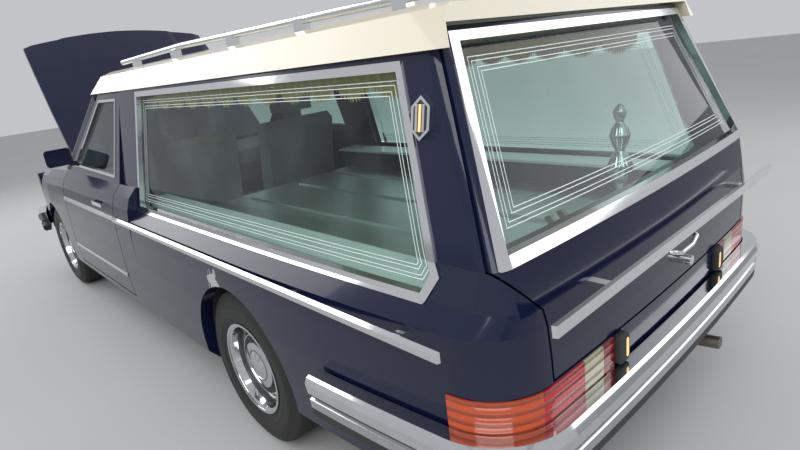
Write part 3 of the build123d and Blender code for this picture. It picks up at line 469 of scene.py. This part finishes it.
SEAT = Finish("seat_cloth", (0.10, 0.10, 0.105), (0.14, 0.14, 0.145), roughness=0.9, scale=25.0, bump=0.6,
              bump_scale=500.0, sheen=0.3, relief=Relief.WEAVE)
STEEL = Finish("pipe_steel", (0.26, 0.24, 0.22), (0.16, 0.12, 0.09), metallic=0.9, roughness=0.45, scale=10.0,
               bump=0.2)
HEADLAMP = Finish("headlamp_lens", (0.62, 0.64, 0.66), (0.5, 0.52, 0.54), metallic=0.3, roughness=0.15, coat=0.8,
                  scale=60.0)
WINDOW = Glass("window_glass", (0.86, 0.95, 0.92), haze=0.03)
ETCHED = Finish("etched_line", (0.78, 0.86, 0.84), (0.70, 0.80, 0.78), roughness=0.6, scale=30.0)
GOLD = Finish("gold_cloth", (0.62, 0.42, 0.12), (0.45, 0.28, 0.07), roughness=0.55, scale=40.0, bump=0.5,
              bump_scale=420.0, sheen=0.5, relief=Relief.WEAVE)
SILVER = Finish("old_silver", (0.55, 0.58, 0.60), (0.36, 0.40, 0.43), metallic=1.0, roughness=0.22, scale=24.0,
                bump=0.3, bump_scale=60.0)
WARM_LENS = Finish("plate_light", (0.95, 0.62, 0.25), (0.85, 0.5, 0.18), roughness=0.3, scale=40.0, glow=0.6)
PALE_FLOOR = Finish("floor_pale", (0.56, 0.56, 0.56), (0.50, 0.50, 0.50), roughness=0.75, scale=0.8)

AMBER = (0.62, 0.075, 0.008)
TAIL_LENS = Banded("tail_lens", Measure.ACROSS, (
    (0.30, (0.30, 0.010, 0.014), 0.0, 0.12),
    (0.445, (0.55, 0.50, 0.33), 0.0, 0.16),
    (0.535, (0.52, 0.008, 0.012), 0.0, 0.10),
    (0.700, AMBER, 0.0, 0.12),
    (0.95, AMBER, 0.0, 0.12)), ribs=0.056, rib_depth=0.008, coat=0.7)

BLADE = (0.80, 0.81, 0.83)
BUMPER = Banded("bumper_chrome", Measure.HEIGHT, (
    (0.30, (0.02, 0.02, 0.022), 0.0, 0.5),
    (0.432, (0.62, 0.63, 0.65), 1.0, 0.14),
    (0.466, (0.10, 0.10, 0.11), 0.6, 0.3),
    (0.480, BLADE, 1.0, 0.08),
    (0.60, BLADE, 1.0, 0.08)))

LEDGE = (0.78, 0.82, 0.82)
INNER_TRIM = Banded("inner_trim", Measure.HEIGHT, (
    (0.60, (0.030, 0.045, 0.055), 0.0, 0.5),
    (0.821, LEDGE, 0.0, 0.3),
    (0.90, LEDGE, 0.0, 0.3)))


def wheel_finish(name: str, axle_x: float) -> Banded:
    """Chrome wheel with dark rings between its bright steps.

    Args:
        name: Name of the material.
        axle_x: Place of the wheel's axle along X.

    Returns:
        The finish of the wheels on that axle.
    """
    bright = (0.74, 0.75, 0.76)
    return Banded(name, Measure.AXLE, (
        (0.0, bright, 1.0, 0.10),
        (0.060, (0.30, 0.30, 0.31), 1.0, 0.25),
        (0.066, bright, 1.0, 0.10),
        (0.094, (0.03, 0.03, 0.032), 0.0, 0.5),
        (0.122, bright, 1.0, 0.12),
        (0.138, (0.20, 0.20, 0.21), 1.0, 0.3),
        (0.143, bright, 1.0, 0.10),
        (0.160, (0.22, 0.22, 0.23), 1.0, 0.3),
        (0.164, bright, 1.0, 0.09),
        (0.20, bright, 1.0, 0.09)), centre=(axle_x, HUB_Z))


def tyre_finish(name: str, axle_x: float) -> Banded:
    """Rubber with tread blocks on the crown and fine rings on the sides.

    Args:
        name: Name of the material.
        axle_x: Place of the tyre's axle along X.

    Returns:
        The finish of the tyres on that axle.
    """
    crown = (0.028, 0.027, 0.026)
    return Banded(name, Measure.AXLE, (
        (0.18, (0.016, 0.016, 0.016), 0.0, 0.55),
        (0.255, (0.020, 0.020, 0.020), 0.0, 0.7),
        (0.305, crown, 0.0, 0.85),
        (0.33, crown, 0.0, 0.85)), centre=(axle_x, HUB_Z), rib_depth=0.005, blocks=72)


# Nodes with a finish of their own; the rest take their slot's
NODE_FINISH = {
    "body_side_left": NAVY_CHIPPED, "tail_lamps": TAIL_LENS, "rear_bumper": BUMPER, "front_bumper": BUMPER,
    "inner_panels": INNER_TRIM,
}
NODE_FINISH.update({
    f"{piece}_{end}_{hand}": make_finish(f"{piece}_{end}", axle_x)
    for piece, make_finish in (("wheel", wheel_finish), ("tyre", tyre_finish))
    for end, axle_x in (("front", FRONT_AXLE), ("rear", REAR_AXLE))
    for hand in ("left", "right")
})

SLOT_FINISH = {
    "navy_paint": NAVY, "cream_paint": CREAM, "chrome": CHROME, "glass": WINDOW, "lamp_glass": HEADLAMP,
    "black_plastic": BLACK, "underbody": UNDERBODY, "cast": CAST, "alloy": ALLOY, "deck_sheet": DECK,
    "seat_fabric": SEAT, "trim": TRIM, "steel": STEEL,
}


@dataclass
class Frame:
    """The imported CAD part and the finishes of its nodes."""

    crease_deg: float = 34.0
    nodes: dict = field(default_factory=dict)

    def load(self) -> None:
        """Loads the CAD part and dresses each node with its finish and clean shading."""
        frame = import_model()
        self.nodes = frame["nodes"]
        slots = {row["node"]: row["material_slot"] for row in frame["record"]["subparts"]}
        for name, obj in self.nodes.items():
            finish = NODE_FINISH.get(name) or SLOT_FINISH[slots[name]]
            obj.data.materials.clear()
            obj.data.materials.append(finish.material())
            self.shade(obj)
        log.info("dressed %d CAD nodes", len(self.nodes))

    def shade(self, obj: bpy.types.Object) -> None:
        """Merges the loose triangles for shading only and keeps the creases sharp.

        Args:
            obj: A CAD node.
        """
        if obj.data.has_custom_normals:
            return
        weld = obj.modifiers.new("weld", "WELD")
        weld.merge_threshold = WELD_DISTANCE
        split = obj.modifiers.new("creases", "EDGE_SPLIT")
        split.split_angle = math.radians(self.crease_deg)
        obj.data.polygons.foreach_set("use_smooth", np.ones(len(obj.data.polygons), bool))


def side_name(side: float) -> str:
    """Names a side of the hearse.

    Args:
        side: 1.0 for the left and -1.0 for the right.

    Returns:
        The word used in the names of pieces.
    """
    return "left" if side > 0 else "right"


def face_finder(obj: bpy.types.Object) -> BVHTree:
    """Makes a tree that rays can search for the faces of a CAD node.

    Args:
        obj: The node.

    Returns:
        The tree over its faces.
    """
    vertices = [vertex.co[:] for vertex in obj.data.vertices]
    return BVHTree.FromPolygons(vertices, [face.vertices[:] for face in obj.data.polygons])


def surface(name: str, grid: np.ndarray, finish: Finish, body: str = "body",
            close: bool = False) -> bpy.types.Object:
    """Makes a named piece from a grid of points and lets it ride on a body.

    Args:
        name: The piece's name.
        grid: Points of shape (rows, columns, 3) in metres.
        finish: The finish of the piece.
        body: The body that carries the piece.
        close: Whether the last column joins the first.

    Returns:
        The new object.
    """
    rows, columns = grid.shape[:2]
    index = np.arange(rows * columns).reshape(rows, columns)
    ahead = np.roll(index, -1, axis=1) if close else index[:, 1:]
    here = index if close else index[:, :-1]
    quads = np.stack([here[:-1], ahead[:-1], ahead[1:], here[1:]], axis=-1).reshape(-1, 4)
    mesh = bpy.data.meshes.new(name)
    mesh.from_pydata(grid.reshape(-1, 3).tolist(), [], quads.tolist())
    mesh.polygons.foreach_set("use_smooth", np.ones(len(mesh.polygons), bool))
    mesh.materials.append(finish.material())
    obj = bpy.data.objects.new(name, mesh)
    bpy.context.scene.collection.objects.link(obj)
    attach(obj, body)
    return obj


@dataclass
class EtchedLines:
    """Fine frosted lines that run round inside the edge of a pane, on both sides where it is a side one."""

    pane: str
    outline: tuple
    beside: bool
    body: str = "body"
    insets: tuple = (0.045, 0.055, 0.070, 0.080)
    width: float = 0.0022
    lift: float = 0.0008
    step: float = 0.03

    def _inset(self, points: np.ndarray, by: float) -> np.ndarray:
        """Moves each side of a convex outline inward.

        Args:
            points: Corners of the outline.
            by: Distance inward in metres.

        Returns:
            The new corners.
        """
        run = np.roll(points, -1, axis=0) - points
        run /= np.linalg.norm(run, axis=1)[:, None]
        inward = np.stack([-run[:, 1], run[:, 0]], axis=1)
        centre = points.mean(axis=0)
        inward *= np.sign(np.sum((centre - points) * inward, axis=1))[:, None]
        offset = points + inward * by
        corners = []
        for i in range(len(points)):
            j = i - 1
            matrix = np.array([run[j], -run[i]]).T
            along = np.linalg.solve(matrix, offset[i] - offset[j])
            corners.append(offset[j] + run[j] * along[0])
        return np.array(corners)

    def build(self, nodes: dict) -> None:
        """Lays each line as a narrow ribbon on the pane's outer face.

        Args:
            nodes: The CAD nodes by name.
        """
        tree = face_finder(nodes[self.pane])
        flat = np.array(self.outline, float)
        for number, inset in enumerate(self.insets):
            inner, outer = self._inset(flat, inset + self.width), self._inset(flat, inset)
            strips = []
            for start in range(len(flat)):
                end = (start + 1) % len(flat)
                count = max(int(np.linalg.norm(outer[end] - outer[start]) / self.step), 2)
                t = np.linspace(0.0, 1.0, count)[:, None]
                edges = [edge[start] + (edge[end] - edge[start]) * t for edge in (outer, inner)]
                strips.append(np.stack(edges, axis=1))
            self._lay(np.concatenate(strips), number, tree)

    def _ray(self, point: np.ndarray, side: float) -> tuple:
        """Aims at the pane from outside.

        Args:
            point: Flat point of the outline.
            side: 1.0 for the left and -1.0 for the right.

        Returns:
            The ray's start and direction.
        """
        u, v = point
        if self.beside:
            return Vector((u, BESIDE_Y * side, v)), Vector((0.0, -side, 0.0))
        return Vector((BEHIND_X, u, v)), Vector((1.0, 0.0, 0.0))

    def _lay(self, strip: np.ndarray, number: int, tree: BVHTree) -> None:
        """Drops one closed strip of flat points onto the pane.

        Args:
            strip: Points of shape (count, 2, 2).
            number: Number of the line, used in its name.
            tree: Faces of the pane.
        """
        for side in (1.0, -1.0) if self.beside else (1.0,):
            grid = np.zeros((*strip.shape[:2], 3))
            for i, j in np.ndindex(*strip.shape[:2]):
                place, normal = tree.ray_cast(*self._ray(strip[i, j], side))[:2]
                if place is None:
                    log.info("%s: a point of a line missed the pane", self.pane)
                    return
                grid[i, j] = place + normal * self.lift
            surface(f"{self.pane}_line_{number}_{side_name(side)}", grid, ETCHED, self.body)


@dataclass
class Valance:
    """Gold scalloped cloth with a fringe, hung along the top of a side window inside.

    Its fields hold a judged allowance for folds over the hung length; the cloth is laid in its hung shape.
    """

    side: float
    x_rear: float = -2.08
    x_front: float = 0.0
    top_z: float = 1.385
    y: float = 0.635
    drop: float = 0.075
    shallow: float = 0.55
    scallop: float = 0.16
    fringe: float = 0.022
    short_thread: float = 0.25
    wave: float = 0.006
    fold: float = 0.045
    lean: float = 0.004
    fold_length: float = 1.2
    fold_area: float = 1.12
    columns: int = 520
    rows: int = 9

    def build(self) -> None:
        """Builds the cloth, whose lower edge follows half waves and whose folds are a small ripple."""
        x = np.linspace(self.x_rear, self.x_front, self.columns)
        phase = np.abs(np.sin(math.pi * (x - self.x_rear) / self.scallop))
        down = np.linspace(0.0, 1.0, self.rows)[:, None]
        depth = self.drop * (self.shallow + (1.0 - self.shallow) * phase)
        ripple = self.wave * np.sin(2.0 * math.pi * x / self.fold)
        grid = np.zeros((self.rows, self.columns, 3))
        grid[..., 0] = x
        grid[..., 1] = self.side * (self.y - down * self.lean + down * ripple)
        grid[..., 2] = self.top_z - down * depth
        cloth = surface(f"valance_{side_name(self.side)}", grid, GOLD)
        comb = np.where(np.arange(self.columns) % 2 == 0, 1.0, self.short_thread)
        threads = np.stack([grid[-1], grid[-1]])
        threads[1, :, 2] -= self.fringe * comb
        trim = surface(f"valance_fringe_{side_name(self.side)}", threads, GOLD)


@dataclass
class TurnedOrnament:
    """Silver turned ornament on the ledge inside the tailgate, one on each side.

    The profile is (radius, height) in metres from the foot up.
    """

    place: tuple = (-2.06, 0.52, 0.7065)
    profile: tuple = (
        (0.0, 0.0), (0.062, 0.0), (0.064, 0.012), (0.040, 0.030), (0.020, 0.050), (0.026, 0.080), (0.044, 0.110),
        (0.050, 0.150), (0.034, 0.190), (0.018, 0.215), (0.030, 0.240), (0.040, 0.275), (0.030, 0.310),
        (0.014, 0.330), (0.024, 0.352), (0.026, 0.375), (0.012, 0.398), (0.0, 0.404))
    flutes: int = 16
    flute_depth: float = 0.06
    full_flute: float = 0.05
    rings: int = 90
    columns: int = 72

    def build(self) -> None:
        """Turns the profile about its axis, with soft flutes on the wide parts."""
        profile = np.array(self.profile)
        fine = np.linspace(0, len(profile) - 1, self.rings)
        radius, height = (np.interp(fine, np.arange(len(profile)), profile[:, i]) for i in (0, 1))
        angle = np.linspace(0.0, 2.0 * math.pi, self.columns, endpoint=False)
        depth = self.flute_depth * np.clip(radius[:, None] / self.full_flute, 0.0, 1.0)
        reach = radius[:, None] * (1.0 + depth * np.cos(self.flutes * angle)[None, :])
        for side in (1.0, -1.0):
            grid = np.zeros((self.rings, self.columns, 3))
            grid[..., 0] = self.place[0] + reach * np.cos(angle)
            grid[..., 1] = side * self.place[1] + reach * np.sin(angle)
            grid[..., 2] = self.place[2] + height[:, None]
            surface(f"ornament_{side_name(side)}", grid, SILVER, close=True)


@dataclass
class PlateLamps:
    """Black lamp housings on both sides of the number plate's place, each with a small warm light."""

    inner_y: float = 0.335
    outer_y: float = 0.389
    low_z: float = 0.545
    high_z: float = 0.628
    stand: float = 0.020
    sink: float = 0.004
    light_rise: float = 0.0015
    light_shift: float = 0.012
    light_half: tuple = (0.006, 0.028)
    roundness: float = 0.35
    columns: int = 48

    def build(self, nodes: dict) -> None:
        """Builds each housing and its light on the rear panel's face.

        Args:
            nodes: The CAD nodes by name.
        """
        tree = face_finder(nodes["rear_panel"])
        half = (0.5 * (self.outer_y - self.inner_y), 0.5 * (self.high_z - self.low_z))
        for side in (1.0, -1.0):
            name = side_name(side)
            y, z = side * 0.5 * (self.inner_y + self.outer_y), 0.5 * (self.low_z + self.high_z)
            face = tree.ray_cast(Vector((BEHIND_X, y, z)), Vector((1.0, 0.0, 0.0)))[0].x
            front = face - self.stand
            self._pillow(f"plate_lamp_{name}", (front, face + self.sink), (y, z), half, BLACK)
            self._pillow(f"plate_light_{name}", (front - self.light_rise, front + self.sink),
                         (y - side * self.light_shift, z), self.light_half, WARM_LENS)

    def _pillow(self, name: str, depth: tuple, centre: tuple, half: tuple, finish: Finish) -> None:
        """Builds a closed rounded slab: rings of superellipse sections from its back to its front.

        Args:
            name: Name of the piece.
            depth: X of its front and of its back.
            centre: (y, z) of its middle.
            half: Half width and half height.
            finish: The finish of the piece.
        """
        angle = np.linspace(0.0, 2.0 * math.pi, self.columns, endpoint=False)
        ring = [np.sign(wave) * np.abs(wave) ** self.roundness for wave in (np.cos(angle), np.sin(angle))]
        steps = ((0.0, 0.0), (0.0, 0.9), (0.06, 1.0), (0.80, 1.0), (0.95, 0.95), (1.0, 0.84), (1.0, 0.0))
        grid = np.zeros((len(steps), self.columns, 3))
        for row, (along, size) in enumerate(steps):
            grid[row, :, 0] = depth[1] + (depth[0] - depth[1]) * along
            for axis in (0, 1):
                grid[row, :, axis + 1] = centre[axis] + half[axis] * size * ring[axis]
        surface(name, grid[:, ::-1], finish, close=True)


@dataclass
class CoachLampFaces:
    """Dark face and three bright upright bars of each coach lamp on the rear pillars."""

    x: float = -2.2035
    z: float = 1.262
    bars: tuple = (-0.011, 0.0, 0.011)
    half_bar: tuple = (0.0035, 0.030)
    outline: tuple = (
        (-0.021, 0.0), (-0.021, 0.024), (0.0, 0.041), (0.021, 0.024), (0.021, -0.024), (0.0, -0.041),
        (-0.021, -0.024))
    face_lift: float = 0.0006
    bar_lift: float = 0.0022
    sink: float = 0.0004

    def build(self, nodes: dict) -> None:
        """Lays the dark face and the bars a hair above each lamp's own face, found by a ray from outside.

        Args:
            nodes: The CAD nodes by name.
        """
        tree = face_finder(nodes["coach_lamps"])
        corners = np.array(((-1, -1), (-1, 1), (1, 1), (1, -1)))
        for side in (1.0, -1.0):
            name = side_name(side)
            self._plate(f"coach_lamp_face_{name}", tree, side, np.array(self.outline), self.face_lift, BLACK)
            for number, shift in enumerate(self.bars):
                bar = corners * np.array(self.half_bar) + np.array((shift, 0.0))
                finish = WARM_LENS if number == 1 else CHROME
                self._plate(f"coach_lamp_bar_{name}_{number}", tree, side, bar, self.bar_lift, finish)

    def _plate(self, name: str, tree: BVHTree, side: float, outline: np.ndarray, lift: float,
               finish: Finish) -> None:
        """Builds a thin raised plate: its outline on the face, the same outline lifted, and a closed middle.

        Args:
            name: Name of the piece.
            tree: Faces of the lamps.
            side: 1.0 for the left and -1.0 for the right.
            outline: Corners round the lamp's middle.
            lift: Height of the plate's face in metres.
            finish: The finish of the piece.
        """
        centre = outline.mean(axis=0)
        steps = ((1.0, -self.sink), (1.0, 0.7), (0.94, 1.0), (0.0, 1.0))
        grid = np.zeros((len(steps), len(outline), 3))
        for column, point in enumerate(outline):
            for row, (size, up) in enumerate(steps):
                u, v = centre + (point - centre) * size
                start = Vector((self.x + u, BESIDE_Y * side, self.z + v))
                place, normal = tree.ray_cast(start, Vector((0.0, -side, 0.0)))[:2]
                grid[row, column] = place + normal * lift * up
        obj = surface(name, grid if side > 0 else grid[:, ::-1], finish, close=True)
        obj.data.polygons.foreach_set("use_smooth", np.zeros(len(obj.data.polygons), bool))


@dataclass
class Studio:
    """Pale floor, soft lamps and the camera at the photograph's place.

    Each lamp is (name, place, size in metres, power in watts).
    """

    eye: tuple = (-3.0885, 1.610, 1.405)
    yaw_deg: float = -41.09
    pitch_deg: float = -17.31
    roll_deg: float = -7.52
    focal_px: float = 544.4
    image_px: int = 800
    sensor_mm: float = 36.0
    clip_start: float = 0.02
    half_floor: float = 30.0
    aim: tuple = (0, 0, 0.7)
    rows: tuple = (
        ("key", (-4.5, 4.5, 5.0), 5.0, 260.0),
        ("fill", (-5.0, -5.0, 4.0), 5.0, 120.0),
        ("front", (5.5, 2.0, 5.0), 5.0, 160.0))
    sky: tuple = (0.72, 0.74, 0.77)
    sky_strength: float = 0.75

    def camera(self) -> None:
        """Sets the camera from its solved place, heading and lens."""
        yaw, pitch, roll = (math.radians(a) for a in (self.yaw_deg, self.pitch_deg, self.roll_deg))
        ahead = Vector((math.cos(yaw) * math.cos(pitch), math.sin(yaw) * math.cos(pitch), math.sin(pitch)))
        right = Vector((math.sin(yaw), -math.cos(yaw), 0.0))
        up = right.cross(ahead)
        turned = math.cos(roll) * right + math.sin(roll) * up
        over = -math.sin(roll) * right + math.cos(roll) * up
        data = bpy.data.cameras.new("camera")
        data.sensor_width = self.sensor_mm
        data.lens = self.focal_px * self.sensor_mm / self.image_px
        data.clip_start = self.clip_start
        camera = bpy.data.objects.new("camera", data)
        axes = (turned, over, -ahead, Vector(self.eye))
        camera.matrix_world = Matrix((*([a[row] for a in axes] for row in range(3)), (0.0, 0.0, 0.0, 1.0)))
        bpy.context.scene.collection.objects.link(camera)
        bpy.context.scene.camera = camera

    def floor(self) -> None:
        """Lays the pale floor."""
        half = self.half_floor
        corners = [(-half, -half, 0), (half, -half, 0), (half, half, 0), (-half, half, 0)]
        mesh = bpy.data.meshes.new("floor")
        mesh.from_pydata(corners, [], [(0, 1, 2, 3)])
        floor = bpy.data.objects.new("floor", mesh)
        bpy.context.scene.collection.objects.link(floor)
        mesh.materials.append(PALE_FLOOR.material())

    def lamps(self) -> None:
        """Hangs the large soft lamps and sets a soft sky."""
        scene = bpy.context.scene
        for name, place, size, power in self.rows:
            data = bpy.data.lights.new(name, "AREA")
            data.energy = power
            data.size = size
            lamp = bpy.data.objects.new(name, data)
            lamp.location = place
            lamp.rotation_euler = (Vector(self.aim) - Vector(place)).to_track_quat("-Z", "Y").to_euler()
            scene.collection.objects.link(lamp)
        world = bpy.data.worlds.new("studio")
        scene.world = world
        world.use_nodes = True
        background = world.node_tree.nodes["Background"]
        background.inputs["Color"].default_value = (*self.sky, 1.0)
        background.inputs["Strength"].default_value = self.sky_strength
        scene.view_settings.view_transform = "Standard"

    def build(self) -> None:
        """Builds the whole stage."""
        self.camera()
        self.floor()
        self.lamps()
        log.info("built the stage")


def main() -> None:
    """Builds the hearse's looks in order and reports each piece."""
    logging.basicConfig(level=logging.INFO)
    frame = Frame()
    frame.load()
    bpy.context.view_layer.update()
    EtchedLines("side_glass", SIDE_WINDOW, beside=True).build(frame.nodes)
    EtchedLines("tailgate_glass", GATE_WINDOW, beside=False, body="tailgate").build(frame.nodes)
    log.info("etched the panes")
    for side in (1.0, -1.0):
        Valance(side).build()
    TurnedOrnament().build()
    PlateLamps().build(frame.nodes)
    CoachLampFaces().build(frame.nodes)
    log.info("built the cloth, the ornaments, the plate lamps and the coach lamps' faces")
    Studio().build()


if __name__ == "__main__":
    main()
